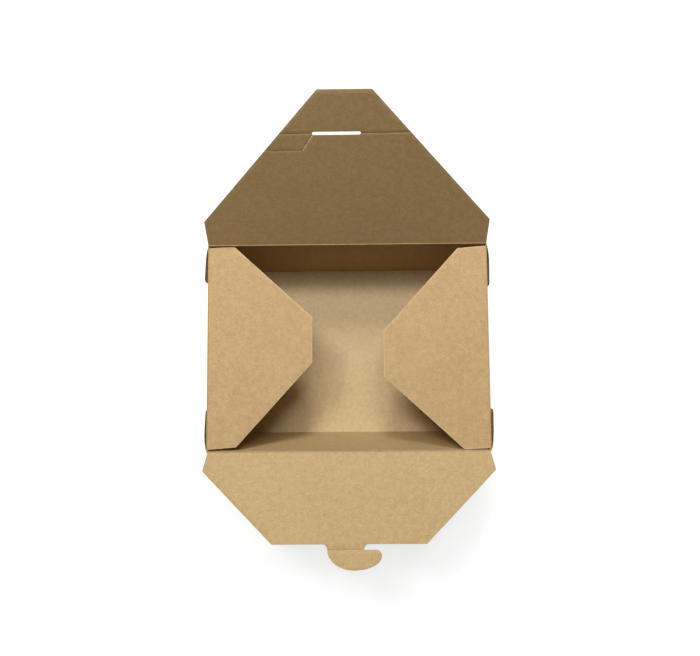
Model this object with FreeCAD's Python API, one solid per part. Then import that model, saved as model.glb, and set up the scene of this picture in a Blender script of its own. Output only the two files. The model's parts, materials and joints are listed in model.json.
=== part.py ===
import FreeCAD, Part
import math
import os

os.makedirs("parts", exist_ok=True)

V = FreeCAD.Vector
X_AXIS = V(1, 0, 0)
Y_AXIS = V(0, 1, 0)
Z_AXIS = V(0, 0, 1)
ORIGIN = V(0, 0, 0)

# A takeaway box folded from one sheet of kraft board, open on a table.
# Lengths are in millimetres and angles in degrees. X runs along the box's
# length, Y to the back, Z up, and the origin is the centre of the underside.

# The sheet and its creases
BOARD = 0.45
BEAD_R = BOARD
HINGE_GAP = 0.05
STACK_GAP = 0.15
CORNER_R = 1.6
SCORE_WIDTH = 0.5
SCORE_DEPTH = 0.12

# The tray, outside sizes at the rim and at the base
RIM_W = 215.9
RIM_D = 158.75
BASE_W = 196.85
BASE_D = 139.7
TRAY_H = 63.5
FOLD_R = 0.6

# The ears: at each corner the web is folded double against the end wall
EAR_DROP = 1.8
EAR_LAYER_GAP = 0.1
EAR_GLUE_SINK = 0.1
EAR_TIP_CUT = 2.0
EAR_ROOT = 1.5
EAR_FOLD_LAND = 0.6
EAR_ROUND = 3.0
EAR_END_LEAN = 3.0
EAR_RUN = {"back_left": 27.0, "back_right": 31.5, "front_left": 31.0, "front_right": 30.0}
EAR_SPRING = {"back_left": 2.3, "back_right": 1.7, "front_left": 0.9, "front_right": 2.1}

# The back flap, with the slot that the front flap's hook goes through
BACK_RAISED = 42.0
BACK_ROOT_INSET = 0.2
BACK_FLARE = 0.1
BACK_FLARE_AT = 20.7
BACK_BEYOND_SLOT = 30.0
BACK_TIP_W = 37.2
SLOT_H = 2.2
SLOT_LEFT_ROOM = 6.8
SLOT_RIGHT_ROOM = 0.4
LOCK_SLACK = 0.3
TEAR_W = 0.15
TEAR_RUN = 8.4
TEAR_DROP = 12.5

# The front flap and its hook
FRONT_RAISED = 10.0
FRONT_ROOT_INSET = 0.9
FRONT_FLARE = 2.5
FRONT_FLARE_AT = 14.2
FRONT_REACH = 66.9
FRONT_EDGE_W = 113.7
NECK_LENGTH = 3.8
NECK_LEFT = -16.1
NECK_W = 26.6
NECK_FILLET = 3.4
NECK_LEAN = 0.5
NOTCH_LEAN = 2.1
NOTCH_R = 0.5
HOOK_OVERHANG = 13.3
HOOK_NOSE_R = 4.2
HOOK_BOTTOM = 19.8
HOOK_DEPTH = 14.3

# The side flaps, alike and turned half a turn from each other
SIDE_ROOT_INSET = 1.3
SIDE_EDGE_CLEAR = 0.35
SIDE_SHORT_INSET = 3.1
SIDE_FLARE_LONG = 19.9
SIDE_FLARE_SHORT = 22.2
SIDE_REACH = 80.4
SIDE_TIP_LONG = 23.0
SIDE_TIP_SHORT = 11.9

# Tapers of the walls and places of the four hinge lines
TAPER_X = math.atan2((RIM_W - BASE_W) / 2, TRAY_H)
TAPER_Y = math.atan2((RIM_D - BASE_D) / 2, TRAY_H)
WALL_X = BOARD / math.cos(TAPER_X)
WALL_Y = BOARD / math.cos(TAPER_Y)


def half_w(z):
    """Half the outside width of the tray at a height."""
    return BASE_W / 2 + z * math.tan(TAPER_X)


def half_d(z):
    """Half the outside depth of the tray at a height."""
    return BASE_D / 2 + z * math.tan(TAPER_Y)


# The closed flaps lie on each other, so each hinge line is a little higher
SIDE_Z = TRAY_H
FRONT_Z = SIDE_Z + BEAD_R + STACK_GAP + BOARD / 2
BACK_Z = FRONT_Z + BOARD + STACK_GAP
SIDE_HINGE_X = half_w(SIDE_Z) - WALL_X / 2
FRONT_HINGE_Y = half_d(FRONT_Z) - WALL_Y / 2
BACK_HINGE_Y = half_d(BACK_Z) - WALL_Y / 2
NECK_AT = FRONT_REACH + NECK_LENGTH
NECK_RIGHT = NECK_LEFT + NECK_W
SLOT_AT = FRONT_HINGE_Y + BACK_HINGE_Y - NECK_AT + LOCK_SLACK


def frustum(z_low, z_high, inset_x, inset_y):
    """A tapered block between two heights, inset from the tray's outside."""
    rings = []
    for z in (z_low, z_high):
        x = half_w(z) - inset_x
        y = half_d(z) - inset_y
        corners = [V(-x, -y, z), V(x, -y, z), V(x, y, z), V(-x, y, z)]
        rings.append(Part.makePolygon(corners + corners[:1]))
    return Part.makeLoft(rings, True, True)


def across_x(z_low, z_high, inset_y):
    """A block the whole width of the box, with the slope of the front and back walls."""
    low = half_d(z_low) - inset_y
    high = half_d(z_high) - inset_y
    x = -RIM_W
    corners = [V(x, -low, z_low), V(x, low, z_low), V(x, high, z_high), V(x, -high, z_high)]
    return Part.Face(Part.makePolygon(corners + corners[:1])).extrude(X_AXIS * 2 * RIM_W)


def rounded_path(corners):
    """Edges along a list of (x, y, radius), with the inner corners rounded."""
    points = [V(x, y, 0) for x, y, r in corners]
    edges = []
    start = points[0]
    for i in range(1, len(points) - 1):
        here = points[i]
        back = (points[i - 1] - here).normalize()
        ahead = (points[i + 1] - here).normalize()
        half_angle = back.getAngle(ahead) / 2
        radius = corners[i][2]
        if radius == 0:
            edges.append(Part.makeLine(start, here))
            start = here
            continue
        along = radius / math.tan(half_angle)
        to_centre = (back + ahead).normalize()
        first = here + back * along
        last = here + ahead * along
        middle = here + to_centre * (radius / math.sin(half_angle) - radius)
        edges.append(Part.makeLine(start, first))
        edges.append(Part.Arc(first, middle, last).toShape())
        start = last
    edges.append(Part.makeLine(start, points[-1]))
    return edges


def board(edges):
    """The board inside an outline, with its middle at height zero."""
    face = Part.Face(Part.Wire(Part.__sortEdges__(edges)))
    face.translate(V(0, 0, -BOARD / 2))
    return face.extrude(V(0, 0, BOARD))


def bead(start, end, radius):
    """A round rod from one point to another."""
    along = end - start
    return Part.makeCylinder(radius, along.Length, start, along)


def strip(start, end, width, z_low, z_high):
    """A straight strip of a width between two points of a flap."""
    along = end - start
    side = Z_AXIS.cross(along).normalize() * (width / 2)
    ring = [start + side, end + side, end - side, start - side, start + side]
    face = Part.Face(Part.makePolygon(ring))
    face.translate(V(0, 0, z_low))
    return face.extrude(V(0, 0, z_high - z_low))


def score(start, end):
    """The groove of a crease in a flap's inner face."""
    return strip(start, end, SCORE_WIDTH, BOARD / 2 - SCORE_DEPTH, BOARD)


def on_hinge(flap, axis, raised, place):
    """A flap cut round its crease, turned to its angle and put on its hinge line."""
    reach = axis * RIM_W
    flap = flap.cut(bead(reach * -1, reach, BEAD_R + HINGE_GAP))
    flap.rotate(ORIGIN, axis, raised)
    flap.translate(place)
    return flap


def tray_shell():
    """Floor and four tapered walls, each wall as high as its own hinge line."""
    outside = frustum(0, BACK_Z, 0, 0)
    base_edges = [e for e in outside.Edges if e.BoundBox.ZMax < BOARD / 2]
    outside = outside.makeFillet(FOLD_R, base_edges)
    inside = frustum(BOARD, BACK_Z + BOARD, WALL_X, WALL_Y)
    shell = outside.cut(inside)
    shell = shell.cut(across_x(SIDE_Z, BACK_Z + BOARD, WALL_Y))
    over_front = Part.makeBox(2 * RIM_W, RIM_D, BACK_Z, V(-RIM_W, -RIM_D, FRONT_Z))
    return shell.cut(over_front)


def crease_beads():
    """The rounded rib that each crease leaves along the top of its wall."""
    end = RIM_W / 2
    beads = [bead(V(-end, BACK_HINGE_Y, BACK_Z), V(end, BACK_HINGE_Y, BACK_Z), BEAD_R)]
    beads.append(bead(V(-end, -FRONT_HINGE_Y, FRONT_Z), V(end, -FRONT_HINGE_Y, FRONT_Z), BEAD_R))
    for x in (-SIDE_HINGE_X, SIDE_HINGE_X):
        beads.append(bead(V(x, -FRONT_HINGE_Y, SIDE_Z), V(x, BACK_HINGE_Y, SIDE_Z), BEAD_R))
    return beads


def ear(run, spring):
    """The folded web of the back left corner: two layers, sprung off the end wall.

    It is drawn on the end wall from the foot of the corner: x inward along the
    wall, y up its slope and z outward.
    """
    lean = math.atan((RIM_D - BASE_D) / 2 * math.cos(TAPER_X) / TRAY_H)
    lean_front = math.atan((RIM_W - BASE_W) / 2 * math.cos(TAPER_Y) / TRAY_H)
    fold = (math.pi / 2 - lean - lean_front) / 2 - lean
    top = (TRAY_H - EAR_DROP) / math.cos(TAPER_X)
    stack = 2 * BOARD + EAR_LAYER_GAP
    corner_way = V(-math.tan(lean), 1, 0)
    fold_way = V(math.tan(fold), 1, 0)
    width = (fold_way - corner_way).x * top

    def bowed(low, high):
        """A layer between two depths, bowed out by the spring at the ear's end."""
        rise = (spring + EAR_GLUE_SINK) / run ** 2
        places = [-stack, width / 2, width]
        inner = [V(x, 0, low - EAR_GLUE_SINK + rise * x * x) for x in places]
        outer = [V(x, 0, high - EAR_GLUE_SINK + rise * x * x) for x in places]
        ring = [Part.Arc(*inner).toShape(), Part.makeLine(inner[2], outer[2])]
        ring += [Part.Arc(*outer).toShape(), Part.makeLine(outer[0], inner[0])]
        face = Part.Face(Part.Wire(Part.__sortEdges__(ring)))
        return face.extrude(corner_way * (top + stack))

    def through(edges):
        """What lies inside an outline, right through the ear."""
        face = Part.Face(Part.Wire(Part.__sortEdges__(edges)))
        face.translate(V(0, 0, -run))
        return face.extrude(V(0, 0, 2 * run))

    top_end = run + corner_way.x * top
    cut_x = top_end + EAR_END_LEAN
    low_end = fold_way * EAR_TIP_CUT
    low_start = corner_way * EAR_TIP_CUT - V(stack, 0, 0)
    top_start = corner_way * top - V(stack, 0, 0)
    corners = [(low_end.x, low_end.y, 0), (low_start.x, low_start.y, 0), (top_start.x, top, 0)]
    corners += [(top_end, top, EAR_ROUND), (cut_x, cut_x / fold_way.x, 0), (low_end.x, low_end.y, 0)]
    solid = bowed(0, stack).common(through(rounded_path(corners)))

    root = EAR_ROOT / math.cos(lean)
    land = EAR_FOLD_LAND / math.cos(fold)
    foot = (root + land) / (fold_way.x - corner_way.x)
    apex = V(root, 0, 0) + corner_way * foot
    far = [apex, apex + fold_way * 2 * top, apex + corner_way * 2 * top, apex]
    solid = solid.cut(bowed(BOARD, BOARD + EAR_LAYER_GAP).common(through(Part.makePolygon(far).Edges)))

    out_x = -math.cos(TAPER_X)
    out_z = -math.sin(TAPER_X)
    onto_wall = FreeCAD.Matrix(0, out_z, out_x, -BASE_W / 2, -1, 0, 0, BASE_D / 2, 0, -out_x, out_z, 0)
    solid.transformShape(onto_wall)
    return solid.common(across_x(0, TRAY_H, 0))


def ears():
    """The four ears, mirrored from the back left one."""
    solids = []
    for name in EAR_RUN:
        solid = ear(EAR_RUN[name], EAR_SPRING[name])
        if "right" in name:
            solid = solid.mirror(ORIGIN, X_AXIS)
        if "front" in name:
            solid = solid.mirror(ORIGIN, Y_AXIS)
        solids.append(solid)
    return solids


def tray():
    """Floor, walls, crease ribs and ears: the folded middle of the sheet."""
    return tray_shell().multiFuse(crease_beads() + ears()).removeSplitter()


def back_flap():
    """The big raised flap, with its slot, its crease and its tear-in finger tab."""
    root = RIM_W / 2 - BACK_ROOT_INSET
    wide = RIM_W / 2 + BACK_FLARE
    tip = BACK_TIP_W / 2
    reach = SLOT_AT + BACK_BEYOND_SLOT
    half = [(root, 0, CORNER_R / 4), (wide, BACK_FLARE_AT, CORNER_R), (tip, reach, CORNER_R)]
    other_half = [(-x, y, r) for x, y, r in reversed(half)]
    flap = board(rounded_path([(0, 0, 0)] + half + other_half + [(0, 0, 0)]))
    slot_left = V(NECK_LEFT - SLOT_LEFT_ROOM + SLOT_H / 2, SLOT_AT, 0)
    slot_right = V(NECK_RIGHT + SLOT_RIGHT_ROOM - SLOT_H / 2, SLOT_AT, 0)
    turn = slot_left - V(TEAR_RUN, TEAR_DROP, 0)
    cuts = [strip(slot_left, slot_right, SLOT_H, -BOARD, BOARD)]
    for slot_end in (slot_left, slot_right):
        cuts.append(Part.makeCylinder(SLOT_H / 2, 2 * BOARD, slot_end - Z_AXIS * BOARD))
    cuts.append(score(V(-wide, SLOT_AT, 0), slot_left))
    cuts.append(score(slot_right, V(wide, SLOT_AT, 0)))
    cuts.append(strip(slot_left, turn, TEAR_W, -BOARD, BOARD))
    cuts.append(strip(turn, V(-wide, turn.y, 0), TEAR_W, -BOARD, BOARD))
    for cut in cuts:
        flap = flap.cut(cut)
    return on_hinge(flap, X_AXIS, BACK_RAISED, V(0, BACK_HINGE_Y, BACK_Z))


def front_flap():
    """The flap in front, with the rounded hook that locks in the slot."""
    root = RIM_W / 2 - FRONT_ROOT_INSET
    wide = RIM_W / 2 + FRONT_FLARE
    edge = FRONT_EDGE_W / 2
    hook_right = NECK_RIGHT + HOOK_OVERHANG
    shoulder = hook_right - HOOK_NOSE_R
    corners = [(shoulder, NECK_AT, 0), (NECK_RIGHT, NECK_AT, NOTCH_R)]
    corners += [(NECK_RIGHT + NOTCH_LEAN, FRONT_REACH, CORNER_R), (edge, FRONT_REACH, CORNER_R)]
    corners += [(wide, FRONT_FLARE_AT, CORNER_R), (root, 0, CORNER_R / 4), (-root, 0, CORNER_R / 4)]
    corners += [(-wide, FRONT_FLARE_AT, CORNER_R), (-edge, FRONT_REACH, CORNER_R)]
    corners += [(NECK_LEFT - NECK_LEAN, FRONT_REACH, NECK_FILLET), (NECK_LEFT, NECK_AT, 0)]
    edges = rounded_path(corners)
    bottom = NECK_LEFT + HOOK_BOTTOM
    left_side = Part.Ellipse(V(bottom, NECK_AT, 0), HOOK_BOTTOM, HOOK_DEPTH)
    nose_at = NECK_AT + HOOK_NOSE_R
    right_side = Part.Ellipse(V(bottom, nose_at, 0), hook_right - bottom, HOOK_DEPTH - HOOK_NOSE_R)
    hook = [Part.ArcOfEllipse(left_side, math.pi / 2, math.pi)]
    hook.append(Part.ArcOfEllipse(right_side, 0, math.pi / 2))
    part_way = HOOK_NOSE_R * math.sin(math.radians(45))
    round_mid = V(shoulder + part_way, nose_at - part_way, 0)
    hook.append(Part.Arc(V(hook_right, nose_at, 0), round_mid, V(shoulder, NECK_AT, 0)))
    flap = board(edges + [side.toShape() for side in hook])
    flap = flap.cut(score(V(NECK_LEFT - 1, NECK_AT, 0), V(NECK_RIGHT, NECK_AT, 0)))
    flap = flap.mirror(ORIGIN, Y_AXIS)
    return on_hinge(flap, X_AXIS, -FRONT_RAISED, V(0, -FRONT_HINGE_Y, FRONT_Z))


def side_flap():
    """The left side flap, closed level, with one shoulder cut shorter than the other."""
    inner = half_d(SIDE_Z) - WALL_Y
    root = inner - SIDE_ROOT_INSET
    long_edge = inner - SIDE_EDGE_CLEAR
    short_edge = inner - SIDE_SHORT_INSET
    corners = [(0, 0, 0), (0, root, CORNER_R / 4), (SIDE_FLARE_LONG, long_edge, CORNER_R)]
    corners += [(SIDE_REACH, SIDE_TIP_LONG, CORNER_R), (SIDE_REACH, -SIDE_TIP_SHORT, CORNER_R)]
    corners += [(SIDE_FLARE_SHORT, -short_edge, CORNER_R), (0, -root, CORNER_R / 4), (0, 0, 0)]
    flap = board(rounded_path(corners))
    return on_hinge(flap, Y_AXIS, 0, V(-SIDE_HINGE_X, 0, SIDE_Z))


def half_turn(solid):
    """The same solid turned half a turn about the box's middle."""
    turned = solid.copy()
    turned.rotate(ORIGIN, Z_AXIS, 180)
    return turned


left = side_flap()
nodes = {
    "tray": tray(),
    "back_flap": back_flap(),
    "front_flap": front_flap(),
    "left_flap": left,
    "right_flap": half_turn(left),
}

for name, shape in nodes.items():
    print(name, "solids", len(shape.Solids), "valid", shape.isValid(), "volume", round(shape.Volume, 1))
    shape.exportStep("parts/" + name + ".step")
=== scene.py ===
import json
import math

import bmesh
import bpy
from mathutils import Matrix, Vector, noise
from mathutils.bvhtree import BVHTree


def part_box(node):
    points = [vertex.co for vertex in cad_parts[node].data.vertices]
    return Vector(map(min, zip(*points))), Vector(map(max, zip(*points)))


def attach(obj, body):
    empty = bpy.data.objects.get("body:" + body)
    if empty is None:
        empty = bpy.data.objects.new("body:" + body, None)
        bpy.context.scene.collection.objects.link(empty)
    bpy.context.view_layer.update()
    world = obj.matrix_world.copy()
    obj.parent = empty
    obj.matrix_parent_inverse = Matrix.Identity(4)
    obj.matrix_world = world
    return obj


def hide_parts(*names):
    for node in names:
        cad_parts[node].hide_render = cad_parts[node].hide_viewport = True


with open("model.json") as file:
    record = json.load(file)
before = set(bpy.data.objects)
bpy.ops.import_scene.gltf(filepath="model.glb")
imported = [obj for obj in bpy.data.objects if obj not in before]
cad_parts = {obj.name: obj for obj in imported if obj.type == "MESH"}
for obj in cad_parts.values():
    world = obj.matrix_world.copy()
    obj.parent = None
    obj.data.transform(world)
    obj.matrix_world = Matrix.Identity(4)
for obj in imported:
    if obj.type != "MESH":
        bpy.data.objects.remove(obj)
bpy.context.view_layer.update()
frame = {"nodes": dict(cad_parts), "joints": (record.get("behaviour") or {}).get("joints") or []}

# An open takeaway box of plain kraft board on a white table, seen from above.
# Lengths are in metres, written as millimetres times MM. X runs along the
# box's length, Y to the back, Z up, and the origin is under the tray's middle.
MM = 0.001

# The camera, with the photograph's focal length in pixels of its 700 wide frame
CAMERA_AT = Vector((6.8, -27.0, 560.9)) * MM
CAMERA_TURN = (4.75, 0.62, -0.46)
FOCAL_PIXELS = 648.6
PHOTO_PIXELS = 700
SENSOR_WIDTH = 36.0

# The board
BOARD = 0.45 * MM
CUT_ROUND = 0.06 * MM
GRID = 4.0 * MM
TRAY_GRID = 5.0 * MM
# Width of the paler band beside the cut edges, partly a painted highlight
RIM_BAND = 1.1 * MM
AT_CREASE = 2.0 * MM
FLAT_FACE = 0.7
IN_BOARD = BOARD * 0.35
SCORE_BEYOND = 20 * MM
SCORE_CUTS = (-1.6, -0.8, 0.8, 1.6)
RIM_REACH = 10 * MM

# How the meshes are cleaned, and where their edges turn sharp, in degrees
WELD = 1e-6
CUT_WELD = 1e-7
FLAT_ANGLE = 0.4
SHARP_ANGLE = 28

# The tray's floor, outside
BASE_W = 196.85 * MM
BASE_D = 139.7 * MM

# How far the board stands off flat
TRAY_BOW = 0.35 * MM
WALL_FROM = 4 * MM
WALL_TO = 1 * MM
FLOOR_BOW = 0.3 * MM
RIPPLE = 0.06 * MM
RIPPLE_LENGTH = 45 * MM
STILL_AT_HINGE = 12 * MM
WARP_FROM = 1 * MM
FLOOR_TOP = BOARD * 1.5

# How far the ears swell off the end walls between their two ends
EAR_RUN = 30 * MM
EAR_SWELL = 1.5 * MM
EAR_TOP_BELOW = 1.0 * MM
EAR_LOW = 20 * MM
EAR_HIGH = 55 * MM
EAR_OFF_WALL = BOARD * 0.7
EAR_END_OFF_WALL = BOARD * 0.8
EAR_EARLY = 0.65

# The colours of the sheet's two sides, of its cut edges and of the rims beside them; some carry painted
# shade and some painted light, as said below
INNER_SIDE = (0.600, 0.418, 0.200)
# The back flap's inner side, darkened as painted shade for a flap leaning away from the light
BACK_INNER_SHADED = (0.450, 0.296, 0.134)
# The floor's inner side, made paler and greyer: painted sheen and bounced light
FLOOR_SIDE_SHEEN = (0.630, 0.475, 0.258)
# The walls' inner side, darkened: painted shade
WALL_SIDE_SHADED = (0.488, 0.342, 0.165)
OUTER_SIDE = (0.606, 0.408, 0.198)
CUT_SIDE = (0.500, 0.350, 0.180)
# The ears' cut ends, near black-brown: painted shade of their folds
EAR_END_SHADED = (0.100, 0.066, 0.032)
# A paler band beside the cut edges: partly lighter fibre at the cut, partly a painted highlight where the
# edges catch the light
RIM_FIBRE_HIGHLIGHT = (0.740, 0.565, 0.330)

# Light, with the lamps' distance and side in metres
LAMP_DISTANCE = 1.6
LAMP_SIZE = 0.30
FILL = 0.045

# The table's own white, beside the box and from there on, and the light it takes
TABLE_GLOW = 0.78
TABLE_NEAR = 0.25
TABLE_FAR = 0.70
TABLE_LIT = 0.44
TABLE_RADIUS = 4.0
TABLE_DROP = 0.02 * MM


def new_object(name, data):
    """A new object in the scene."""
    made = bpy.data.objects.new(name, data)
    bpy.context.scene.collection.objects.link(made)
    return made


def joint_of(node):
    """The hinge that a flap turns on."""
    return next(j for j in frame["joints"] if j["child"] == node)


# Camera

camera_data = bpy.data.cameras.new("camera")
camera_data.sensor_fit = "HORIZONTAL"
camera_data.sensor_width = SENSOR_WIDTH
camera_data.lens = FOCAL_PIXELS / PHOTO_PIXELS * SENSOR_WIDTH
camera_data.clip_start = 0.01
camera = new_object("camera", camera_data)
camera.location = CAMERA_AT
camera.rotation_euler = [math.radians(turn) for turn in CAMERA_TURN]
bpy.context.scene.camera = camera
bpy.context.scene.view_settings.view_transform = "Standard"


# Lamps

def soft_lamp(name, azimuth, elevation, watts):
    """A square soft lamp turned to the box, with its azimuth from the back to the right."""
    turn = math.radians(azimuth)
    rise = math.radians(elevation)
    level = math.cos(rise)
    toward = Vector((level * math.sin(turn), level * math.cos(turn), math.sin(rise)))
    data = bpy.data.lights.new(name, "AREA")
    data.shape = "SQUARE"
    data.size = LAMP_SIZE
    data.energy = watts
    lamp = new_object(name, data)
    lamp.location = toward * LAMP_DISTANCE
    lamp.rotation_euler = toward.to_track_quat("Z", "Y").to_euler()
    lamp.visible_camera = False


soft_lamp("lamp_back", 0, 45, 9.282)
soft_lamp("lamp_left", -40, 60, 6.545)
soft_lamp("lamp_top_left", -20, 65, 3.570)
soft_lamp("lamp_top_right", 20, 65, 3.094)
soft_lamp("lamp_above", 0, 78, 3.332)


# Surroundings

def shader_tree(owner):
    """An emptied node tree, in which the helpers below add and join nodes."""
    owner.use_nodes = True
    tree = owner.node_tree
    tree.nodes.clear()
    return tree


def add(tree, kind, inputs=None, **settings):
    """A node with its settings, its inputs set to values or joined to outputs."""
    node = tree.nodes.new("ShaderNode" + kind)
    for key, value in settings.items():
        setattr(node, key, value)
    for key, value in (inputs or {}).items():
        if isinstance(value, bpy.types.NodeSocket):
            tree.links.new(value, node.inputs[key])
        else:
            node.inputs[key].default_value = value
    return node


def sum_of(tree, first, second, operation="ADD"):
    """The output of a math node on two inputs."""
    node = add(tree, "Math", {0: first, 1: second}, operation=operation)
    return node.outputs[0]


def over(tree, value, low, high, to_low=0.0, to_high=1.0):
    """A value mapped smoothly from one range to another."""
    inputs = {0: value, 1: low, 2: high, 3: to_low, 4: to_high}
    return add(tree, "MapRange", inputs, interpolation_type="SMOOTHSTEP").outputs[0]


def seen_directly(tree):
    """1 on rays from the camera and on mirrored or passed-through ones, else 0."""
    path = add(tree, "LightPath")
    seen = sum_of(tree, path.outputs["Is Camera Ray"], path.outputs["Is Glossy Ray"], "MAXIMUM")
    return sum_of(tree, seen, path.outputs["Is Transmission Ray"], "MAXIMUM")


world = bpy.data.worlds.new("studio")
bpy.context.scene.world = world
tree = shader_tree(world)
fill = add(tree, "Background", {"Color": (1.0, 1.0, 1.0, 1.0), "Strength": FILL})
white = add(tree, "Background", {"Color": (1.0, 1.0, 1.0, 1.0), "Strength": 1.0})
choice = add(tree, "MixShader", {0: seen_directly(tree), 1: fill.outputs[0], 2: white.outputs[0]})
add(tree, "OutputWorld", {"Surface": choice.outputs[0]})


def table():
    """A wide white table top, which keeps the box's soft shadow."""
    mesh = bpy.data.meshes.new("table")
    form = bmesh.new()
    bmesh.ops.create_circle(form, cap_ends=True, segments=96, radius=TABLE_RADIUS)
    form.to_mesh(mesh)
    form.free()
    top = new_object("table", mesh)
    top.location.z = -TABLE_DROP
    material = bpy.data.materials.new("white_table")
    tree = shader_tree(material)
    plain = add(tree, "BsdfDiffuse", {"Color": (0.80, 0.80, 0.79, 1.0)})
    lit = add(tree, "BsdfDiffuse", {"Color": (TABLE_LIT, TABLE_LIT, TABLE_LIT, 1.0)})
    place = add(tree, "TexCoord").outputs["Object"]
    away = add(tree, "VectorMath", {0: place}, operation="LENGTH").outputs["Value"]
    own_white = over(tree, away, TABLE_NEAR, TABLE_FAR, TABLE_GLOW, 1.0)
    glow = add(tree, "Emission", {"Color": (1.0, 1.0, 1.0, 1.0), "Strength": own_white})
    bright = add(tree, "AddShader", {0: lit.outputs[0], 1: glow.outputs[0]})
    choice = add(tree, "MixShader", {0: seen_directly(tree), 1: plain.outputs[0], 2: bright.outputs[0]})
    add(tree, "OutputMaterial", {"Surface": choice.outputs[0]})
    mesh.materials.append(material)
    return top


table()


# The sheet's finish

def spread(tree, coordinates, scale, detail, roughness=0.6, stretch=None, turn=0.0):
    """A noise about zero, from -0.5 to 0.5, stretched and turned where asked."""
    if stretch:
        rotation = (0.0, 0.0, math.radians(turn))
        mapping = add(tree, "Mapping", {"Vector": coordinates, "Rotation": rotation, "Scale": stretch})
        coordinates = mapping.outputs[0]
    inputs = {"Vector": coordinates, "Scale": scale, "Detail": detail, "Roughness": roughness}
    return sum_of(tree, add(tree, "TexNoise", inputs).outputs[0], -0.5)


def kraft(name, colour, roughness, mottle, gloss, rim_highlight=0.0):
    """Brown board: soft clouds, blotches, grain and fibres, paler at the cut edges where asked, partly as
    lighter fibre and partly as a painted highlight.
    """
    material = bpy.data.materials.new(name)
    tree = shader_tree(material)
    place = add(tree, "TexCoord").outputs["Object"]
    clouds = spread(tree, place, 35, 2)
    blotches = spread(tree, place, 260, 3)
    grain = spread(tree, place, 900, 3)
    along = spread(tree, place, 1, 2, 0.5, (160, 1900, 1900), 8)
    across = spread(tree, place, 1, 2, 0.5, (1700, 190, 1700), 24)
    dark_fibre = over(tree, along, 0.12, 0.22)
    pale_fibre = over(tree, across, 0.12, 0.22)
    specks = over(tree, spread(tree, place, 620, 1, 0.4), 0.24, 0.30)

    tone = sum_of(tree, clouds, 0.07 * mottle, "MULTIPLY")
    tone = sum_of(tree, tone, sum_of(tree, blotches, 0.23 * mottle, "MULTIPLY"))
    tone = sum_of(tree, tone, sum_of(tree, grain, 0.31 * mottle, "MULTIPLY"))
    tone = sum_of(tree, tone, sum_of(tree, pale_fibre, 0.045 * mottle, "MULTIPLY"))
    tone = sum_of(tree, tone, sum_of(tree, dark_fibre, 0.050 * mottle, "MULTIPLY"), "SUBTRACT")
    tone = sum_of(tree, tone, sum_of(tree, specks, 0.10 * mottle, "MULTIPLY"), "SUBTRACT")
    share = over(tree, tone, -0.25, 0.25)
    deep = [c * k for c, k in zip(colour, (0.70, 0.69, 0.67))] + [1.0]
    pale = [min(c * k, 1.0) for c, k in zip(colour, (1.30, 1.31, 1.33))] + [1.0]
    board = add(tree, "Mix", {0: share, 6: deep, 7: pale}, data_type="RGBA").outputs[2]

    # A paler band along the cut edges, partly lighter fibre and partly a painted highlight
    rim = add(tree, "Attribute", attribute_name="rim_distance").outputs["Fac"]
    ragged = sum_of(tree, rim, sum_of(tree, grain, 0.8 * MM, "MULTIPLY"))
    by_edge = over(tree, ragged, 0.2 * MM, RIM_BAND, rim_highlight, 0.0)
    rim_colour = (*RIM_FIBRE_HIGHLIGHT, 1.0)
    finish = add(tree, "Mix", {0: by_edge, 6: board, 7: rim_colour}, data_type="RGBA").outputs[2]

    height = sum_of(tree, grain, sum_of(tree, blotches, 0.8, "MULTIPLY"))
    height = sum_of(tree, height, sum_of(tree, pale_fibre, 0.35, "MULTIPLY"))
    height = sum_of(tree, height, sum_of(tree, dark_fibre, 0.25, "MULTIPLY"), "SUBTRACT")
    bump = add(tree, "Bump", {"Strength": 0.5, "Distance": 0.06 * MM, "Height": height})
    rough = over(tree, blotches, -0.3, 0.3, roughness - 0.06, roughness + 0.06)
    inputs = {"Base Color": finish, "Roughness": rough, "Normal": bump.outputs[0]}
    inputs["Specular IOR Level"] = gloss
    surface = add(tree, "BsdfPrincipled", inputs)
    add(tree, "OutputMaterial", {"Surface": surface.outputs[0]})
    return material


def cut_edge(name, colour):
    """The fibrous core that shows where the sheet is cut through; on the ears' ends its near black-brown
    colour is painted shade.
    """
    material = bpy.data.materials.new(name)
    tree = shader_tree(material)
    place = add(tree, "TexCoord").outputs["Object"]
    fluff = spread(tree, place, 2600, 3)
    layers = spread(tree, place, 900, 2)
    share = over(tree, sum_of(tree, fluff, layers), -0.4, 0.4)
    deep = [c * 0.78 for c in colour] + [1.0]
    pale = [c * 1.15 for c in colour] + [1.0]
    core = add(tree, "Mix", {0: share, 6: deep, 7: pale}, data_type="RGBA").outputs[2]
    bump = add(tree, "Bump", {"Strength": 0.7, "Distance": 0.05 * MM, "Height": fluff})
    inputs = {"Base Color": core, "Roughness": 0.85, "Normal": bump.outputs[0]}
    inputs["Specular IOR Level"] = 0.1
    surface = add(tree, "BsdfPrincipled", inputs)
    add(tree, "OutputMaterial", {"Surface": surface.outputs[0]})
    return material


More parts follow.
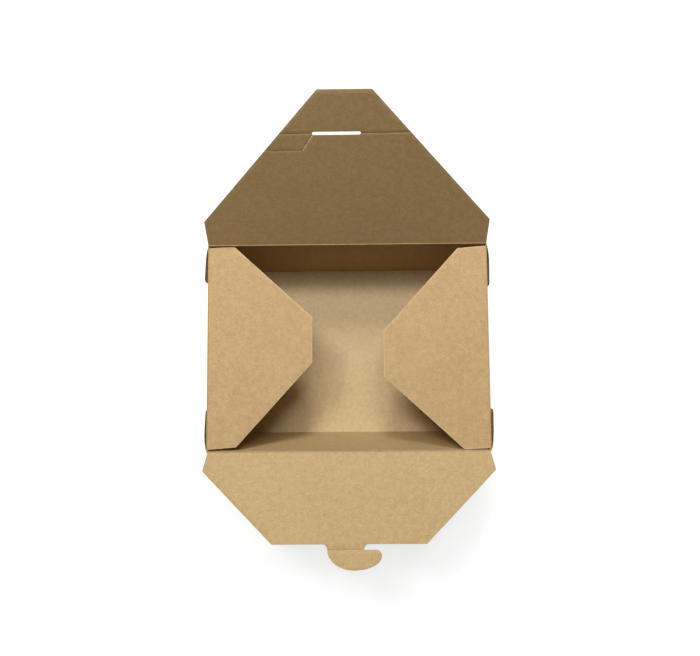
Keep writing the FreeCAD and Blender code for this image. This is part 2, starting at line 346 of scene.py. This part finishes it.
# Material slots: the back flap's inside, the walls and the ears' cut ends take darker colours as painted
# shade, the floor a paler one as painted sheen and bounced light
INNER = 0
BACK_SHADED = 1
FLOOR_SHEEN = 2
WALL_SHADED = 3
OUTER = 4
CUT = 5
EAR_SHADED = 6
finishes = [
    kraft("kraft_inner", INNER_SIDE, 0.55, 1.0, 0.14),
    # The back flap's inside, darker: painted shade
    kraft("kraft_back_inner_painted_shade", BACK_INNER_SHADED, 0.55, 1.0, 0.10),
    # The floor, paler: painted sheen and bounced light
    kraft("kraft_floor_painted_sheen", FLOOR_SIDE_SHEEN, 0.50, 0.8, 0.16),
    # The walls, darker: painted shade
    kraft("kraft_wall_painted_shade", WALL_SIDE_SHADED, 0.55, 0.9, 0.12),
    # Only the outer side takes the paler rim: partly fibre, partly painted highlight
    kraft("kraft_outer", OUTER_SIDE, 0.66, 1.0, 0.10, 0.55),
    cut_edge("kraft_cut_edge", CUT_SIDE),
    # The ears' cut ends: painted shade
    cut_edge("kraft_ear_end_painted_shade", EAR_END_SHADED),
]


# The board itself

def cut_planes(form, direction, spacing, extra=()):
    """Cuts a mesh into strips across a direction, so that its flat faces can bend."""
    places = [direction.dot(v.co) for v in form.verts]
    low = min(places)
    count = int((max(places) - low) / spacing)
    cuts = [low + spacing * (i + 0.5) for i in range(count + 1)]
    cuts += list(extra)
    for cut in cuts:
        parts = form.verts[:] + form.edges[:] + form.faces[:]
        bmesh.ops.bisect_plane(form, geom=parts, plane_co=direction * cut, plane_no=direction, dist=CUT_WELD)


def clean_form(node):
    """The node's mesh with its triangles joined into whole faces."""
    form = bmesh.new()
    form.from_mesh(frame["nodes"][node].data)
    bmesh.ops.remove_doubles(form, verts=form.verts[:], dist=WELD)
    bmesh.ops.dissolve_limit(
        form, angle_limit=math.radians(FLAT_ANGLE), verts=form.verts[:], edges=form.edges[:]
    )
    return form


def nearest_cut(form, is_cut):
    """A search tree over the faces where the sheet is cut through."""
    corners = []
    faces = []
    for face in form.faces:
        if is_cut(face):
            faces.append(range(len(corners), len(corners) + len(face.verts)))
            corners += [v.co.copy() for v in face.verts]
    return BVHTree.FromPolygons(corners, [list(face) for face in faces])


def mark_rim(form, tree):
    """Stores how far each point lies from the nearest cut edge."""
    layer = form.verts.layers.float.new("rim_distance")
    for vert in form.verts:
        vert[layer] = min(tree.find_nearest(vert.co)[3], RIM_REACH)


def finished_piece(name, form, node):
    """The mesh as an object that stands for its node."""
    mesh = bpy.data.meshes.new(name)
    form.to_mesh(mesh)
    form.free()
    for finish in finishes:
        mesh.materials.append(finish)
    mesh.shade_smooth()
    mesh.set_sharp_from_angle(angle=math.radians(SHARP_ANGLE))
    piece = new_object(name, mesh)
    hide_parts(node)
    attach(piece, node)
    return piece


def clamp(value):
    """A value held between 0 and 1."""
    return min(max(value, 0.0), 1.0)


def smooth_step(value, low, high):
    """0 below a range, 1 above it, and smooth between."""
    share = clamp((value - low) / (high - low))
    return share * share * (3 - 2 * share)


def flap_axes(node):
    """A flap's own axes: X along its crease, Y out from it, Z out of its upper face."""
    hinge = Vector(joint_of(node)["pos_m"])
    crease = Vector(joint_of(node)["axis"]).normalized()
    up = Vector()
    for face in frame["nodes"][node].data.polygons:
        if face.normal.z > 0.1:
            up += face.normal * face.area
    up = (up - crease * up.dot(crease)).normalized()
    low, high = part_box(node)
    out = (low + high) / 2 - hinge
    out = (out - crease * out.dot(crease) - up * out.dot(up)).normalized()
    turn = Matrix((out.cross(up), out, up)).transposed().to_4x4()
    return Matrix.Translation(hinge) @ turn


def flap(node, upper, lower, curl, seed):
    """A flap: its board rounded at the cuts, with a crease line and a slight warp."""
    axes = flap_axes(node)
    form = clean_form(node)
    form.transform(axes.inverted())
    form.normal_update()
    in_board = [v.co.y for v in form.verts if abs(v.co.z) < IN_BOARD and v.co.y > SCORE_BEYOND]

    cut_rims = []
    for edge in form.edges:
        if len(edge.link_faces) == 2:
            flat = [abs(face.normal.z) > FLAT_FACE for face in edge.link_faces]
            if flat[0] != flat[1] and edge.verts[0].co.y > AT_CREASE:
                cut_rims.append(edge)
    bmesh.ops.bevel(form, geom=cut_rims, offset=CUT_ROUND, segments=2, profile=0.5, affect="EDGES")

    reach = max(v.co.y for v in form.verts)
    extra = []
    if in_board:
        score = sum(in_board) / len(in_board)
        extra = [score + step * MM for step in SCORE_CUTS]
    cut_planes(form, Vector((1, 0, 0)), GRID)
    cut_planes(form, Vector((0, 1, 0)), GRID, extra)
    form.normal_update()

    def is_cut(face):
        """Whether a face is a cut edge, away from the crease."""
        return abs(face.normal.z) < FLAT_FACE and face.calc_center_median().y > AT_CREASE

    mark_rim(form, nearest_cut(form, is_cut))
    for face in form.faces:
        if is_cut(face):
            face.material_index = CUT
        else:
            face.material_index = upper if face.normal.z > 0 else lower
    for vert in form.verts:
        x, y = vert.co.x, vert.co.y
        free = smooth_step(y, WARP_FROM, STILL_AT_HINGE)
        ripple = noise.noise(Vector((x, y, seed)) / RIPPLE_LENGTH)
        vert.co.z += free * (RIPPLE * ripple - curl * (y / reach) ** 2)
    form.transform(axes)
    return finished_piece(node + "_board", form, node)


def tray():
    """The tray: floor, walls and ears, a little bowed as folded board is."""
    form = clean_form("tray")
    form.normal_update()
    rim_z = joint_of("left_flap")["pos_m"][2]
    rim_x = abs(joint_of("left_flap")["pos_m"][0])
    rim_y = abs(joint_of("front_flap")["pos_m"][1])
    middle = Vector((0, 0, rim_z * 0.6))
    cut_planes(form, Vector((1, 0, 0)), TRAY_GRID)
    cut_planes(form, Vector((0, 1, 0)), TRAY_GRID)
    cut_planes(form, Vector((0, 0, 1)), TRAY_GRID)
    form.normal_update()

    def is_cut(face):
        """Whether a face is a cut end of an ear."""
        at = face.calc_center_median()
        half_x = BASE_W / 2 + (rim_x - BASE_W / 2) * at.z / rim_z
        outside = abs(at.x) > half_x + EAR_END_OFF_WALL
        return outside and abs(face.normal.x) < 0.5

    mark_rim(form, nearest_cut(form, is_cut))
    for face in form.faces:
        at = face.calc_center_median()
        faces_in = face.normal.dot(middle - at) > 0 and abs(at.x) < rim_x
        # The ears' cut ends take a near black-brown finish: painted shade
        if is_cut(face):
            face.material_index = EAR_SHADED
        elif faces_in:
            # The floor takes a paler inner side, painted sheen and bounced light, and the walls a darker
            # one, painted shade
            face.material_index = FLOOR_SHEEN if face.normal.z > 0.9 else WALL_SHADED
        else:
            face.material_index = OUTER

    for vert in form.verts:
        x, y, z = vert.co
        up = clamp(z / rim_z)
        half_x = BASE_W / 2 + (rim_x - BASE_W / 2) * up
        half_y = BASE_D / 2 + (rim_y - BASE_D / 2) * up
        along_x = math.cos(math.pi / 2 * min(abs(x) / half_x, 1.0))
        along_y = math.cos(math.pi / 2 * min(abs(y) / half_y, 1.0))
        rise = math.sin(math.pi * up)
        at_end = smooth_step(abs(x), half_x - WALL_FROM, half_x - WALL_TO)
        at_side = smooth_step(abs(y), half_y - WALL_FROM, half_y - WALL_TO)
        wave = 1.0 + noise.noise(Vector((x, y, z)) / RIPPLE_LENGTH)
        vert.co.x += math.copysign(TRAY_BOW * rise * along_y * at_end * wave, x)
        vert.co.y += math.copysign(TRAY_BOW * rise * along_x * at_side * wave, y)
        if z < FLOOR_TOP:
            vert.co.z += FLOOR_BOW * along_x * along_y * wave
        if abs(x) > half_x + EAR_OFF_WALL and z < rim_z - EAR_TOP_BELOW:
            share = clamp((half_y - abs(y)) / EAR_RUN)
            swell = EAR_SWELL * math.sin(math.pi * share ** EAR_EARLY)
            swell *= smooth_step(z, EAR_LOW, EAR_HIGH)
            vert.co.x += math.copysign(swell, x)
    return finished_piece("tray_board", form, "tray")


tray()
# The back flap's upper face takes the darkened inner side: painted shade
flap("back_flap", BACK_SHADED, OUTER, 0.35 * MM, 1.3)
flap("front_flap", INNER, OUTER, 0.10 * MM, 5.1)
flap("left_flap", OUTER, INNER, 0.60 * MM, 8.7)
flap("right_flap", OUTER, INNER, 0.70 * MM, 3.9)
